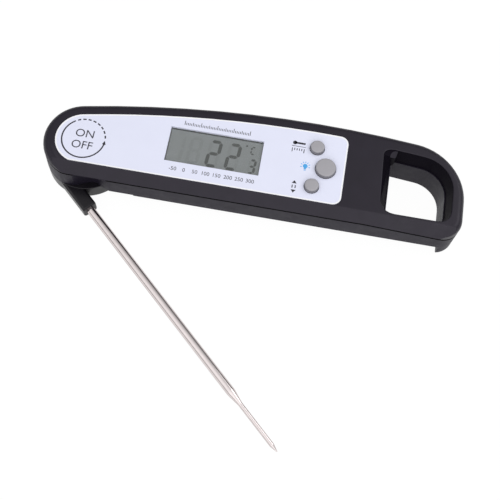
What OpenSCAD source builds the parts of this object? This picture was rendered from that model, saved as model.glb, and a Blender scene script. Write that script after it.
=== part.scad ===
// Folding digital meat thermometer: a two-shell case with a carrying loop, a display and three
// buttons on its face, and a stainless probe on a turning hub that folds into the lower edge.
// Units are millimetres. X runs along the case from the pivot end to the loop, Z is up out of the face.
// The origin is on the back face, under the middle of the display.

/* [Case] */
// Length of the case, pivot end to loop end
case_l = 167; // [158:0.1:180]
// Thickness of the case, back face to bezel face
case_h = 19.2; // [18:0.1:22]
// Radius of the pivot end
end_r = 15.8; // [15.4:0.1:16.2]
// Radius of the crowned upper edge
crown_r = 450; // [430:1:490]
// Distance from the pivot to the highest point of the crown
crown_at = 89.4; // [86:0.1:93]
// How far the straight lower edge lies inside the round pivot end
foot_drop = 0.8; // [0.4:0.1:1.2]
// Radius of the lower corner at the pivot end
foot_r = 8; // [7:0.5:9]
// Radius of the upper corner at the loop end
corner_r = 22.5; // [21:0.5:25]
// Radius of the lower corner at the loop end
heel_r = 7.5; // [6:0.5:9]
// Wall thickness of both shells
wall = 1.8; // [1.6:0.1:2]
// Height of the front shell's side, from the parting line to the bezel face
part_h = 3.4; // [3.2:0.1:3.6]
// Rounding of the front edge
front_round = 2.8; // [1.5:0.1:2.8]
// Width of the slope along the lower front edge
slope_w = 4.3; // [3.6:0.1:4.5]
// Fall of the slope along the lower front edge
slope_h = 3; // [2.4:0.1:3.1]
// Rounding of the back edge
back_round = 1.2; // [0.6:0.1:1.6]
// Depth of the fine groove along the parting line
seam = 0.3; // [0.1:0.05:0.3]
// Distance from the pivot to the end of the hollow, before the solid loop
hollow_l = 117; // [114:0.1:117.4]

/* [Loop] */
// Distance from the pivot to the near side of the loop's hole
hole_at = 121; // [120:0.1:122]
// Width of the bar at the end of the loop
hole_end = 6.4; // [5:0.1:8]
// Height of the hole at its near side
hole_h = 25.3; // [24:0.1:26.5]
// Width of the bar below the hole
hole_bar = 6.5; // [5.6:0.1:7]
// Fall of the hole's upper side, in degrees
hole_fall = 5; // [2:0.5:7]
// Radius of the hole's large upper corner
hole_big_r = 12; // [9:0.5:13]
// Radius of the hole's other corners
hole_small_r = 3.5; // [2.5:0.1:4]
// How far the hole's sides flare out towards the front
hole_flare = 1.3; // [0.8:0.1:1.5]
// Rounding of the hole's front edge
hole_round = 0.5; // [0.3:0.1:0.8]
// Depth below the bezel face where the two shells meet inside the hole
hole_seam_h = 7; // [6.2:0.1:8.2]
// Step between the two shells inside the hole
hole_step = 0.4; // [0.3:0.1:0.8]
// Wall of the front shell's skirt round the hole
skirt = 1.8; // [1.6:0.1:2]
// Reach of the opener tooth into the hole
tooth = 2.2; // [1.4:0.1:2.6]

/* [Panel] */
// Width of the bezel round the panel
bezel = 4.9; // [4.6:0.1:5.2]
// Distance from the pivot to the panel's straight end
panel_l = 103.4; // [102:0.1:106]
// Corner radius of the panel's straight end
panel_corner_r = 3.5; // [2.5:0.1:4]
// Thickness of the panel
panel_t = 1; // [0.8:0.1:1.2]
// How far the panel lies below the bezel
panel_sink = 0.2; // [0.1:0.05:0.3]
// Thickness of the front shell's plate under the panel
plate_t = 1; // [0.8:0.1:1.2]

/* [Display] */
// Distance from the pivot to the middle of the display
display_at = 51.6; // [50:0.1:53]
// Height of the middle of the display above the pivot
display_up = 4.3; // [3.9:0.1:4.7]
// Width of the display opening
display_w = 37.2; // [34:0.1:38]
// Height of the display opening
display_h = 15.3; // [14:0.1:16]
// How far the display glass reaches past the opening on each side
glass_margin = 1.6; // [1:0.1:1.8]
// Thickness of the display glass
glass_t = 1.8; // [1.4:0.1:2]
// Thickness of the clear window
window_t = 0.75; // [0.5:0.05:0.85]
// Width of the glass ledge for the connector strip
ledge = 1.8; // [1.6:0.1:2]
// Thickness of the backlight guide plate
guide_t = 1.8; // [1.5:0.1:1.9]

/* [Board] */
// Distance from the pivot to the near end of the board
board_at = 24.6; // [24:0.1:25.6]
// Length of the board
board_l = 82; // [76:0.5:92]
// Distance from the middle of the display to the board's upper edge
board_up = 13.2; // [12.6:0.1:13.8]
// Distance from the middle of the display to the board's lower edge
board_down = 12.2; // [11.5:0.1:12.4]
// Thickness of the board
board_t = 1; // [0.8:0.1:1.2]

/* [Buttons] */
// Diameter of the large button
big_d = 8.1; // [7:0.1:8.4]
// Diameter of the small buttons
small_d = 5.7; // [5:0.1:6]
// Distance from the middle of the display to the large button
big_x = 44.1; // [43:0.1:45]
// Distance from the middle of the display to the small buttons, along the case
small_x = 39.7; // [39:0.1:40.5]
// Distance from the large button's row to each small button's row
small_y = 8.5; // [8.4:0.1:8.8]
// How far the buttons stand above the panel
button_proud = 1.9; // [0.8:0.1:2.4]
// Travel of the buttons
button_travel = 0.7; // [0.4:0.1:0.8]
// Width of the flange that keeps each button in
button_flange = 0.7; // [0.5:0.05:0.75]
// Running gap round the buttons
button_gap = 0.15; // [0.1:0.05:0.2]

/* [Probe] */
// Angle of the probe from its folded place, as the part stands
open_angle = 42.7; // [30:0.1:150]
// Width of the arm
arm_w = 6; // [5.6:0.1:6.4]
// Height of the arm
arm_h = 6; // [5.6:0.1:6.2]
// Length of the arm from the pivot's foot to its end
arm_l = 20.3; // [19:0.1:22]
// Rounding of the arm's long edges
arm_round = 1.1; // [0.6:0.1:1.6]
// Outer diameter of the probe tube
tube_d = 3.4; // [3:0.1:3.8]
// Wall of the probe tube
tube_wall = 0.4; // [0.3:0.05:0.5]
// Straight length of the tube outside the arm
tube_l = 92.2; // [86:0.1:95]
// Length of the tube inside the arm
tube_grip = 10; // [8:0.5:14]
// Length of the taper to the thin tip
neck_l = 5.5; // [4:0.1:7]
// Length of the thin tip
tip_l = 21.9; // [18:0.1:22.5]
// Diameter of the thin tip
tip_d = 1.8; // [1.6:0.1:2.2]
// Length of the ground point
point_l = 3; // [2:0.1:5]

/* [Pivot] */
// How far the hub stands out past the case's round end
hub_over = 0.3; // [0.1:0.05:0.5]
// Gap under the hub, so that it clears a table
hub_lift = 0.4; // [0.3:0.05:0.6]
// Gap between the hub and the case
hub_gap = 0.35; // [0.3:0.05:0.5]
// Height of the hub's recess above the back face
hub_recess_h = 7; // [7:0.1:7.4]
// Height of the probe's rebate above the back face
rebate_h = 6.4; // [6:0.1:6.6]
// Radius of the case's pivot boss
boss_r = 5; // [4.5:0.1:5.5]
// Radius of the boss's bore
boss_bore_r = 3; // [2.5:0.1:3.2]
// Radial running clearance of the hub on the boss
boss_fit = 0.06; // [0.03:0.01:0.09]
// Radius of the retainer's flange
retainer_r = 7.6; // [7:0.1:8]
// Thickness of the retainer's flange
retainer_t = 0.8; // [0.6:0.05:0.9]
// Thickness of the thrust washer
washer_t = 0.5; // [0.4:0.05:0.6]
// Radius of the cap over the pivot
cap_r = 9.2; // [8.8:0.1:9.8]
// Thickness of the cap
cap_t = 0.8; // [0.6:0.05:0.9]
// Section diameter of the pivot seal
seal_d = 1; // [0.8:0.05:1.1]
// Length of the thumb scoop above the arm
scoop_l = 16; // [13:0.5:18]
// Depth of the thumb scoop
scoop_depth = 2.6; // [1.6:0.1:2.8]

/* [Battery] */
// Diameter of the coin cell
cell_d = 20; // [16:0.5:20]
// Thickness of the coin cell
cell_t = 3.2; // [2:0.1:3.4]
// Distance from the middle of the display to the cell
cell_x = 15; // [14:0.1:16]
// Height of the cell above the middle of the display
cell_y = 2; // [1:0.1:3]
// Thickness of the battery cover's flange
cover_t = 1.3; // [1.2:0.05:1.5]
// Width of the cover's flange past its neck
cover_flange = 1.9; // [1.8:0.05:2.2]
// Width of the coin slot
coin_slot = 2; // [1.6:0.1:2.4]

/* [Back] */
// Diameter of the back magnet
magnet_d = 18; // [14:0.5:18.5]
// Thickness of the back magnet
magnet_t = 2.4; // [2:0.1:2.6]
// Distance from the middle of the display to the magnet
magnet_x = 42; // [41:0.1:43]
// Height of the magnet above the middle of the display
magnet_y = 1; // [0:0.1:2]
// Diameter of the case screws' shanks
screw_d = 1.9; // [1.6:0.1:2]
// Diameter of the case screws' heads
screw_head_d = 3.8; // [3.4:0.1:4]

/* [Hidden] */
$fn = 48;

// Small clearance between pieces that seat on each other
seat = 0.05;
// Overlap that makes cuts run clean through a face
past = 1;

// Places taken from the pivot
pivot = [-display_at, -display_up];
case_x1 = pivot[0] - end_r + case_l;
case_y0 = pivot[1] - end_r;
base_y = case_y0 + foot_drop;
hollow_x1 = pivot[0] + hollow_l;
hole_x0 = pivot[0] + hole_at;
hole_y0 = base_y + hole_bar;
hole_l = case_x1 - hole_end - hole_x0;
crown_c = [
  pivot[0] + crown_at,
  pivot[1] - sqrt(pow(crown_r - end_r, 2) - pow(crown_at, 2))
];

// Heights, from the face down
part_z = case_h - part_h;
hole_seam_z = case_h - hole_seam_h;
panel_z1 = case_h - panel_sink;
panel_z0 = panel_z1 - panel_t;
plate_z0 = panel_z0 - plate_t;
glass_z1 = panel_z0 - seat;
glass_z0 = glass_z1 - glass_t;
guide_z1 = glass_z0 - seat;
guide_z0 = guide_z1 - guide_t;
board_z1 = guide_z0 - seat;
board_z0 = board_z1 - board_t;

// Heights, from the back up, and the hub's radius
floor_t = wall;
hub_r = end_r + hub_over;
hub_z0 = hub_lift;
hub_z1 = hub_recess_h - hub_gap;
end_floor_t = 1.6;
end_floor_z = hub_recess_h + end_floor_t;
rebate_roof_z = rebate_h + wall;

// Probe, in the frame of the hub: the arm runs along +X when folded
arm_inset = 0.4;
arm_off = end_r - arm_inset - arm_w / 2;
probe_z = hub_z0 + arm_h / 2;
tip_x = arm_l + tube_l + neck_l + tip_l;
arm_clear = 0.4;
arm_end_room = 2;
tip_room = 5.2;
tube_room = 0.6;
arm_recess_x1 = pivot[0] + arm_l + arm_end_room;
arm_recess_y1 = pivot[1] - arm_off + arm_w / 2 + arm_clear;
rebate_x1 = pivot[0] + tip_x + tip_room;
rebate_y1 = pivot[1] - arm_off + tube_d / 2 + tube_room;

// Pivot stack, from the cap up
cap_z1 = hub_z0 + cap_t;
lead_d = 0.6;
lead_gap = 0.1;
lead_room = 0.3;
lead_z = cap_z1 + lead_d / 2 + lead_gap;
retainer_z0 = lead_z + lead_d / 2 + lead_gap;
boss_z0 = retainer_z0 + retainer_t;
washer_z0 = boss_z0 + seat;
web_z0 = washer_z0 + washer_t + seat;
cap_step = 0.6;
seal_off = 3.3;
seal_ring_r = boss_r + seal_off;
seal_sunk = 0.8 * seal_d;
fold_magnet_d = 3;
fold_magnet_t = 2;
fold_magnet_sink = 0.15;
fold_magnet_ring = (seal_ring_r + seal_d / 2 + hub_r) / 2;

// Battery well
cell_room = 0.7;
cell_bore_r = cell_d / 2 + cell_room;
neck_r = cell_bore_r + seat;
lug_reach = 0.85;
lug_r = neck_r + lug_reach;
lug_w = 4.4;
lug_gap = 0.2;
lug_entry = 60;
cover_r = neck_r + cover_flange;
cover_z0 = 0.1;
cover_z1 = cover_z0 + cover_t;
ledge_t = 0.55;
lug_z0 = cover_z1 + seat + ledge_t + seat;
lug_t = 0.6;
cover_top = lug_z0 + lug_t;
cell_gap = 0.15;
cell_z0 = cover_top + cell_gap;
cell_z1 = cell_z0 + cell_t;
leaf_t = 0.3;
roof_z0 = cell_z1 + leaf_t + 2 * seat;
roof_t = 1;
roof_z1 = roof_z0 + roof_t;
well_wall = 0.8;
well_r = cover_r + well_wall;
cell_at = [cell_x, cell_y];
positive_w = 4;
negative_l = 12;
negative_w = 5;
negative_leg = 2;

// Fasteners: one post near each corner of the hollow
post_r = 2.6;
boss_wall_r = 3.3;
post_inset = 4.9;
post_near = 19.6;
post_near_up = 12.9;
post_near_down = 5.1;
post_far_up = 18.4;
post_far_down = 5.4;
post_gap = 0.2;
head_gap = 0.15;
shank_gap = 0.1;
head_sink = 0.9;
head_t = 1.2;
screw_l = 11;
post_z0 = end_floor_z + post_gap;
posts = [
  [pivot[0] + post_near, pivot[1] + post_near_up],
  [pivot[0] + post_near, pivot[1] - post_near_down],
  [hollow_x1 - post_inset, pivot[1] + post_far_up],
  [hollow_x1 - post_inset, pivot[1] - post_far_down]
];

// Board supports
rest_r = 1.7;
rest_inset = 3;
board_gap = 0.3;
board_x0 = pivot[0] + board_at;
board_x1 = board_x0 + board_l;
rests = [
  [board_x0 + rest_inset, board_up - rest_inset],
  [board_x0 + rest_inset, rest_inset - board_down],
  [big_x, board_up - rest_inset],
  [big_x, rest_inset - board_down]
];

// Buttons: place and diameter of each
unit_at = [small_x, small_y];
light_at = [big_x, 0];
hold_at = [small_x, -small_y];
flange_t = 1;
switch_w = 4.4;
switch_t = 0.7;
plunger_r = 1.2;
button_edge = 0.5;
button_crown = 0.1;

// Case gasket
gasket_in = 0.45;
gasket_out = 1.1;
gasket_t = 0.6;

// Thumb scoop: place of its middle, and how far its ends start outside the lower edge
scoop_x = 5.6;
scoop_lip = 0.1;
scoop_steps = 16;

// Steps of the outlines' arcs
foot_steps = 5;
end_steps = 24;
crown_steps = 10;
corner_steps = 14;
heel_steps = 8;
edge_steps = 5;

// Arc of points about a centre, both ends included
function arc(c, r, a0, a1, n) =
  [for (i = [0:n]) let(a = a0 + (a1 - a0) * i / n) c + r * [cos(a), sin(a)]];

// Centre of a corner that touches the crown and the straight end at x1
function crown_corner(cr, x1, r) =
  [x1 - r, crown_c[1] + sqrt(pow(cr - r, 2) - pow(x1 - r - crown_c[0], 2))];

// Blade outline: round pivot end with a tighter lower corner that runs into the straight lower edge,
// crowned top, straight end at x1 with two round corners. The lower edge lies inside the round end
// by the drop. The inset moves every side inwards by the same amount.
function blade(er, cr, x1, rt, rb, drop, inset = 0) =
  let(
    base = er - drop,
    fr = foot_r - end_r + er,
    fc = [pivot[0] - sqrt(pow(er - fr, 2) - pow(base - fr, 2)), pivot[1] - base + fr],
    af = 360 + atan2(fc[1] - pivot[1], fc[0] - pivot[0]),
    a0 = atan2(pivot[1] - crown_c[1], pivot[0] - crown_c[0]),
    ct = crown_corner(cr, x1, rt),
    a1 = atan2(ct[1] - crown_c[1], ct[0] - crown_c[0]),
    cb = [x1 - rb, pivot[1] - base + rb]
  )
  concat(
    arc(fc, fr - inset, 270, af, foot_steps),
    [for (i = [1:end_steps])
      let(a = af + (a0 - af) * i / end_steps)
      pivot + (er - inset) * [cos(a), sin(a)]],
    [for (i = [1:crown_steps - 1])
      let(a = a0 + (a1 - a0) * i / crown_steps)
      crown_c + (cr - inset) * [cos(a), sin(a)]],
    arc(ct, rt - inset, a1, 0, corner_steps),
    arc(cb, rb - inset, 0, -90, heel_steps)
  );

function case_outline(inset = 0) = blade(end_r, crown_r, case_x1, corner_r, heel_r, foot_drop, inset);
function panel_outline(inset = 0) =
  blade(end_r - bezel, crown_r - bezel, pivot[0] + panel_l, panel_corner_r, panel_corner_r,
    foot_drop * 2 / 3, inset);
hollow_corner_r = 4;
function hollow_outline(inset = 0) =
  blade(end_r - wall, crown_r - wall, hollow_x1, hollow_corner_r, hollow_corner_r, foot_drop, inset);

// Valley of the thumb scoop in the lower edge, this far further in
function scoop_outline(further = 0) =
  concat(
    [for (i = [0:scoop_steps])
      let(t = 2 * i / scoop_steps - 1)
      [
        pivot[0] + scoop_x + t * scoop_l / 2,
        base_y + further - scoop_lip + (scoop_depth + scoop_lip) * (1 + cos(180 * t)) / 2
      ]],
    [
      [pivot[0] + scoop_x + scoop_l / 2, case_y0 - past],
      [pivot[0] + scoop_x - scoop_l / 2, case_y0 - past]
    ]
  );

// Outline of the loop's hole, with every side moved outwards by the same amount
hole_pts = [
  [hole_x0, hole_y0],
  [hole_x0, hole_y0 + hole_h],
  [hole_x0 + hole_l, hole_y0 + hole_h - hole_l * tan(hole_fall)],
  [hole_x0 + hole_l, hole_y0]
];
hole_sharp_r = 1.5;
hole_fillet_max = 0.55 * hole_l;
hole_radii = [for (r = [hole_small_r, hole_sharp_r, hole_big_r, hole_small_r]) min(r, hole_fillet_max)];
hole_steps = [5, 4, 10, 5];

function unit(v) = v / norm(v);
function corner_arc(p, a, b, r, out, n) =
  let(
    u = unit(a - p),
    v = unit(b - p),
    half = acos(u * v) / 2,
    c = p + unit(u + v) * r / sin(half),
    s = p + u * r / tan(half) - c,
    e = p + v * r / tan(half) - c,
    a0 = atan2(s[1], s[0]),
    turn = atan2(s[0] * e[1] - s[1] * e[0], s * e)
  )
  arc(c, r + out, a0, a0 + turn, n);
function hole_outline(out = 0) =
  [for (k = [0:3])
    each corner_arc(hole_pts[k], hole_pts[(k + 3) % 4], hole_pts[(k + 1) % 4],
      hole_radii[k], out, hole_steps[k])];

// Solid through a stack of rings that have the same number of points, listed from the bottom up
module loft(rings) {
  n = len(rings[0]);
  m = len(rings);
  polyhedron(
    points = [for (ring = rings) each ring],
    faces = concat(
      [[for (i = [n - 1:-1:0]) i]],
      [[for (i = [0:n - 1]) (m - 1) * n + i]],
      [for (k = [0:m - 2], i = [0:n - 1])
        [k * n + i, k * n + (i + 1) % n, (k + 1) * n + (i + 1) % n, (k + 1) * n + i]]
    )
  );
}
function ring(points, z) = [for (p = points) [p[0], p[1], z]];

// Wire along a chain of points, as one tube with eight sides; across is never along the wire
wire_sides = 8;
function heading(points, i) =
  unit(points[min(i + 1, len(points) - 1)] - points[max(i - 1, 0)]);
function wire_ring(points, i, d, across) =
  let(
    t = heading(points, i),
    u = unit(cross(t, across)),
    v = cross(t, u)
  )
  [for (k = [0:wire_sides - 1])
    let(a = 360 * k / wire_sides)
    points[i] + d / 2 * (cos(a) * u + sin(a) * v)];
module wire(points, d, across) {
  n = wire_sides;
  m = len(points);
  polyhedron(
    points = [for (i = [0:m - 1]) each wire_ring(points, i, d, across)],
    faces = concat(
      [[for (k = [0:n - 1]) k]],
      [[for (k = [n - 1:-1:0]) (m - 1) * n + k]],
      [for (i = [0:m - 2], k = [0:n - 1])
        [i * n + k, (i + 1) * n + k, (i + 1) * n + (k + 1) % n, i * n + (k + 1) % n]]
    )
  );
}
module prism(points, z0, z1) {
  translate([0, 0, z0]) linear_extrude(z1 - z0) polygon(points);
}
module disc(at, r, z0, z1) {
  translate([at[0], at[1], z0]) cylinder(r = r, h = z1 - z0);
}
module box(x0, x1, y0, y1, z0, z1) {
  translate([x0, y0, z0]) cube([x1 - x0, y1 - y0, z1 - z0]);
}
// Frame of the hub, turned to the probe's open angle
module on_hub() {
  translate([pivot[0], pivot[1], 0]) rotate(-open_angle) children();
}

// Front shell
front_steps = 5;
module front_skin() {
  loft(concat(
    [ring(case_outline(seam), part_z), ring(case_outline(0), part_z + seam)],
    [for (i = [0:front_steps])
      let(a = 90 * i / front_steps)
      ring(case_outline(front_round * (1 - cos(a))), case_h - front_round * (1 - sin(a)))]
  ));
}
// Space in front of the slope along the lower front edge, this far further in
slope_past = 0.5;
module front_slope(further = 0) {
  fall = [slope_w, slope_h];
  y0 = base_y + further * norm(fall) / slope_h;
  low = [y0, case_h - slope_h] - slope_past * fall;
  high = [y0 + slope_w, case_h] + slope_past * fall;
  translate([pivot[0] - end_r - past, 0, 0])
    rotate([90, 0, 90])
      linear_extrude(case_l + 2 * past) polygon([low, high, [low[0], high[1]]]);
}
module hole_cut() {
  loft(concat(
    [ring(hole_outline(0), hole_seam_z - past), ring(hole_outline(0), hole_seam_z)],
    [for (i = [0:front_steps])
      let(a = 90 * i / front_steps)
      ring(hole_outline(hole_flare + hole_round * (1 - cos(a))), case_h - hole_round * (1 - sin(a)))],
    [ring(hole_outline(hole_flare + hole_round), case_h + past)]
  ));
}
module button_hole(at, d) {
  disc(at, d / 2 + button_gap, plate_z0 - past, case_h + past);
}
tooth_sink = 0.7;
tooth_root = 0.3;
function tooth_outline(out) =
  let(y1 = hole_y0 + hole_h)
  [
    [hole_x0 - out, y1 + out],
    [hole_x0 + tooth, y1 + out],
    [hole_x0 + tooth / 2, y1 - tooth],
    [hole_x0 - out, y1 - tooth]
  ];
module opener_tooth() {
  loft([
    ring(tooth_outline(tooth_root), hole_seam_z),
    ring(tooth_outline(hole_flare + tooth_root), case_h - tooth_sink)
  ]);
}
glass_x = display_w / 2 + glass_margin;
glass_y = display_h / 2 + glass_margin;
glass_room = 0.2;
module front_shell() {
  color("#333036")
    difference() {
      union() {
        difference() {
          union() {
            front_skin();
            prism(hole_outline(skirt), hole_seam_z, part_z + seam);
          }
          hole_cut();
          front_slope();
        }
        opener_tooth();
        for (p = posts) disc(p, post_r, post_z0, plate_z0 + plate_t / 2);
      }
      difference() {
        prism(hollow_outline(), part_z - past, plate_z0);
        for (p = posts) disc(p, post_r, part_z - 2 * past, plate_z0 + past);
        prism(scoop_outline(wall), part_z - 2 * past, plate_z0 + past);
        front_slope(wall);
      }
      prism(panel_outline(-seat), panel_z0, case_h + past);
      box(-glass_x - glass_room, glass_x + glass_room, -glass_y - glass_room, glass_y + ledge + glass_room,
        plate_z0 - past, panel_z0 + past);
      button_hole(unit_at, small_d);
      button_hole(light_at, big_d);
      button_hole(hold_at, small_d);
      for (p = posts) disc(p, screw_d / 2, post_z0 - past, head_sink + head_t + screw_l + past);
    }
}

// Rear shell
back_steps = 4;
module rear_skin() {
  loft(concat(
    [for (i = [0:back_steps])
      let(a = 90 * i / back_steps)
      ring(case_outline(back_round * (1 - sin(a))), back_round * (1 - cos(a)))],
    [ring(case_outline(0), part_z - seam), ring(case_outline(seam), part_z)]
  ));
}
module rear_hollow() {
  difference() {
    prism(hollow_outline(), floor_t, part_z + past);
    disc(pivot, hub_r + hub_gap + wall, 0, end_floor_z);
    box(pivot[0], hollow_x1 + past, case_y0 - past, rebate_y1 + wall, 0, rebate_roof_z);
    box(pivot[0], arm_recess_x1 + wall, case_y0 - past, arm_recess_y1 + wall, 0, rebate_roof_z);
    prism(scoop_outline(wall), 0, part_z + 2 * past);
    disc(cell_at, well_r, 0, roof_z1);
    disc([magnet_x, magnet_y], magnet_d / 2 + wall, 0, magnet_t + wall);
    for (p = posts) disc(p, boss_wall_r, 0, post_z0);
    for (p = rests) disc(p, rest_r, 0, board_z0);
  }
}
module battery_well() {
  translate([cell_at[0], cell_at[1], 0]) {
    translate([0, 0, -past]) cylinder(r = cover_r + lug_gap / 2, h = cover_z1 + seat + past);
    cylinder(r = neck_r, h = lug_z0);
    translate([0, 0, lug_z0 - seat]) cylinder(r = lug_r + lug_gap, h = lug_t + 2 * seat);
    translate([0, 0, lug_z0]) cylinder(r = cell_bore_r, h = roof_z0 - lug_z0);
    for (a = [lug_entry, lug_entry + 180])
      rotate(a)
        box(0, lug_r + lug_gap, -lug_w / 2 - 2 * lug_gap, lug_w / 2 + 2 * lug_gap, cover_z1, lug_z0 + lug_t);
    box(-positive_w / 2 - lug_gap, positive_w / 2 + lug_gap, cell_d / 2, cell_d / 2 + leaf_t + lug_gap,
      roof_z0 - past, roof_z1 + past);
    box(-leaf_t, 2 * leaf_t, -negative_leg / 2 - lug_gap, negative_leg / 2 + lug_gap,
      roof_z0 - past, roof_z1 + past);
  }
}
// Room inside a line that runs in the wall, this far out from the hollow, and round the thumb scoop
module seal_path(out, z0, z1) {
  difference() {
    prism(hollow_outline(-out), z0, z1);
    prism(scoop_outline(wall - out), z0 - past, z1 + past);
  }
}
module rear_shell() {
  color("#333036")
    difference() {
      union() {
        difference() {
          rear_skin();
          rear_hollow();
          disc(pivot, hub_r + hub_gap, -past, hub_recess_h);
        }
        disc(pivot, boss_r, boss_z0, end_floor_z);
      }
      box(pivot[0], arm_recess_x1, case_y0 - past, arm_recess_y1, -past, hub_recess_h);
      box(arm_recess_x1 - past, rebate_x1, case_y0 - past, rebate_y1, -past, rebate_h);
      prism(scoop_outline(), hub_recess_h - past, part_z + past);
      disc(pivot, boss_bore_r, boss_z0 - past, end_floor_z + past);
      prism(hole_outline(-hole_step), -past, part_z + past);
      prism(hole_outline(skirt + seat), hole_seam_z - seat, part_z + past);
      battery_well();
      disc([magnet_x, magnet_y], magnet_d / 2 + seat, -past, magnet_t + 3 * seat);
      for (p = posts) {
        disc(p, screw_d / 2 + shank_gap, -past, post_z0 + past);
        disc(p, screw_head_d / 2 + head_gap, -past, head_sink + head_t);
      }
      difference() {
        seal_path(gasket_out + seat, part_z - gasket_t - seat, part_z + past);
        seal_path(gasket_in - seat, part_z - 2 * gasket_t, part_z + 2 * past);
      }
    }
}

// Face panel and display
module face_panel() {
  color("#e6e8fa")
    difference() {
      prism(panel_outline(), panel_z0, panel_z1);
      box(-display_w / 2, display_w / 2, -display_h / 2, display_h / 2, panel_z0 - past, panel_z1 + past);
      button_hole(unit_at, small_d);
      button_hole(light_at, big_d);
      button_hole(hold_at, small_d);
    }
}
module display_window() {
  color("#cfd8dc", 0.4)
    box(-display_w / 2 + seat, display_w / 2 - seat, -display_h / 2 + seat, display_h / 2 - seat,
      panel_z0, panel_z0 + window_t);
}
module display_glass() {
  color("#8c948a") {
    box(-glass_x, glass_x, -glass_y, glass_y, (glass_z0 + glass_z1) / 2, glass_z1);
    box(-glass_x, glass_x, -glass_y, glass_y + ledge, glass_z0, (glass_z0 + glass_z1) / 2);
  }
}
strip_inset = 1;
module connector_strip() {
  color("#d98fa5")
    box(-glass_x + strip_inset, glass_x - strip_inset, glass_y + glass_room, glass_y + ledge - glass_room,
      board_z1, glass_z0);
}
module backlight_guide() {
  color("#f2f4f6")
    box(-glass_x, glass_x, -glass_y, glass_y, guide_z0, guide_z1);
}
lamp_gap = 0.1;
lamp_l = 2;
lamp_w = 3;
lamp_t = 1.2;
module backlight_lamp() {
  color("#f4efc0")
    box(glass_x + lamp_gap, glass_x + lamp_gap + lamp_l, -lamp_w / 2, lamp_w / 2,
      board_z1, board_z1 + lamp_t);
}

// Circuit board and what is on it
board_cut_l = 8;
board_cut_h = 3;
module circuit_board() {
  color("#2f6b4f")
    difference() {
      prism([
        [board_x0, -board_down],
        [board_x1, -board_down],
        [board_x1, board_up],
        [board_x0 + board_cut_l, board_up],
        [board_x0, board_up - board_cut_h]
      ], board_z0, board_z1);
      for (p = posts) disc(p, post_r + board_gap, board_z0 - past, board_z1 + past);
    }
}
chip_r = 4;
chip_t = 1.3;
chip_dome_r = (chip_r * chip_r + chip_t * chip_t) / (2 * chip_t);
module board_chip() {
  color("#1b1b1d")
    translate([(glass_x + small_x) / 2, 0, board_z1])
      rotate_extrude()
        intersection() {
          translate([0, chip_t - chip_dome_r]) circle(r = chip_dome_r);
          square([chip_r, chip_t]);
        }
}
part_size = [1.8, 1.1, 0.7];
part_inset = 1.4;
part_first = -2;
part_pitch = 2.4;
part_count = 5;
module board_parts() {
  color("#b9a37a")
    for (i = [0:part_count - 1])
      translate([board_x0 + part_inset, part_first + part_pitch * i, board_z1]) cube(part_size);
}
module tact_switches() {
  color("#c9ccd1")
    for (p = [unit_at, light_at, hold_at]) {
      translate([p[0] - switch_w / 2, p[1] - switch_w / 2, board_z1])
        cube([switch_w, switch_w, switch_t]);
      disc(p, plunger_r, board_z1, button_z0 - button_travel - seat);
    }
}

// Buttons
button_z1 = panel_z1 + button_proud;
button_z0 = plate_z0 - seat - flange_t;
module button(at, d) {
  color("#a5a5a8")
    translate([at[0], at[1], 0])
      rotate_extrude()
        polygon(concat(
          [[0, button_z0], [d / 2 + button_flange, button_z0]],
          [[d / 2 + button_flange, button_z0 + flange_t], [d / 2, button_z0 + flange_t]],
          arc([d / 2 - button_edge, button_z1 - button_edge], button_edge, 0, 80, edge_steps),
          [[0, button_z1 + button_crown]]
        ));
}
module unit_button() { button(unit_at, small_d); }
module light_button() { button(light_at, big_d); }
module hold_button() { button(hold_at, small_d); }

// Sounder on the floor
sounder_at = [(pivot[0] + hub_r + hub_gap + wall + cell_x - well_r) / 2, 0];
sounder_r = 7;
sounder_core_r = 5;
sounder_t = 0.4;
sounder_core_t = 0.3;
module sounder() {
  color("#c9a24a") {
    disc(sounder_at, sounder_r, floor_t, floor_t + sounder_t);
    disc(sounder_at, sounder_core_r, floor_t + sounder_t, floor_t + sounder_t + sounder_core_t);
  }
}

// Battery, contacts and cover
cell_rim_h = 0.5;
cell_rim_w = 1.2;
module coin_cell() {
  color("#c4c7cb") {
    disc(cell_at, cell_d / 2, cell_z0, cell_z1 - cell_rim_h);
    disc(cell_at, cell_d / 2 - cell_rim_w, cell_z1 - cell_rim_h, cell_z1);
  }
}
module contact_positive() {
  color("#d8c98a")
    translate([cell_at[0], cell_at[1], 0])
      box(-positive_w / 2, positive_w / 2, cell_d / 2 + seat, cell_d / 2 + seat + leaf_t, cell_z0, board_z0);
}
module contact_negative() {
  color("#d8c98a")
    translate([cell_at[0], cell_at[1], 0]) {
      box(-negative_l / 2, negative_l / 2, -negative_w / 2, negative_w / 2,
        cell_z1 + seat, cell_z1 + seat + leaf_t);
      box(0, leaf_t, -negative_leg / 2, negative_leg / 2, cell_z1 + seat, board_z0);
    }
}
coin_slot_l = 14;
coin_slot_depth = 0.8;
module battery_cover() {
  color("#2c2a2f")
    translate([cell_at[0], cell_at[1], 0])
      difference() {
        union() {
          translate([0, 0, cover_z0]) cylinder(r = cover_r, h = cover_t);
          translate([0, 0, cover_z0]) cylinder(r = neck_r - lug_gap, h = cover_top - cover_z0);
          for (a = [0, 180])
            rotate(a)
              intersection() {
                translate([0, -lug_w / 2, lug_z0]) cube([lug_r, lug_w, lug_t]);
                cylinder(r = lug_r, h = cover_top);
              }
        }
        box(-coin_slot_l / 2, coin_slot_l / 2, -coin_slot / 2, coin_slot / 2,
          -past, cover_z0 + coin_slot_depth);
        battery_groove();
      }
}
battery_seal_d = 0.75;
battery_seal_r = (neck_r + cover_r) / 2;
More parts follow.
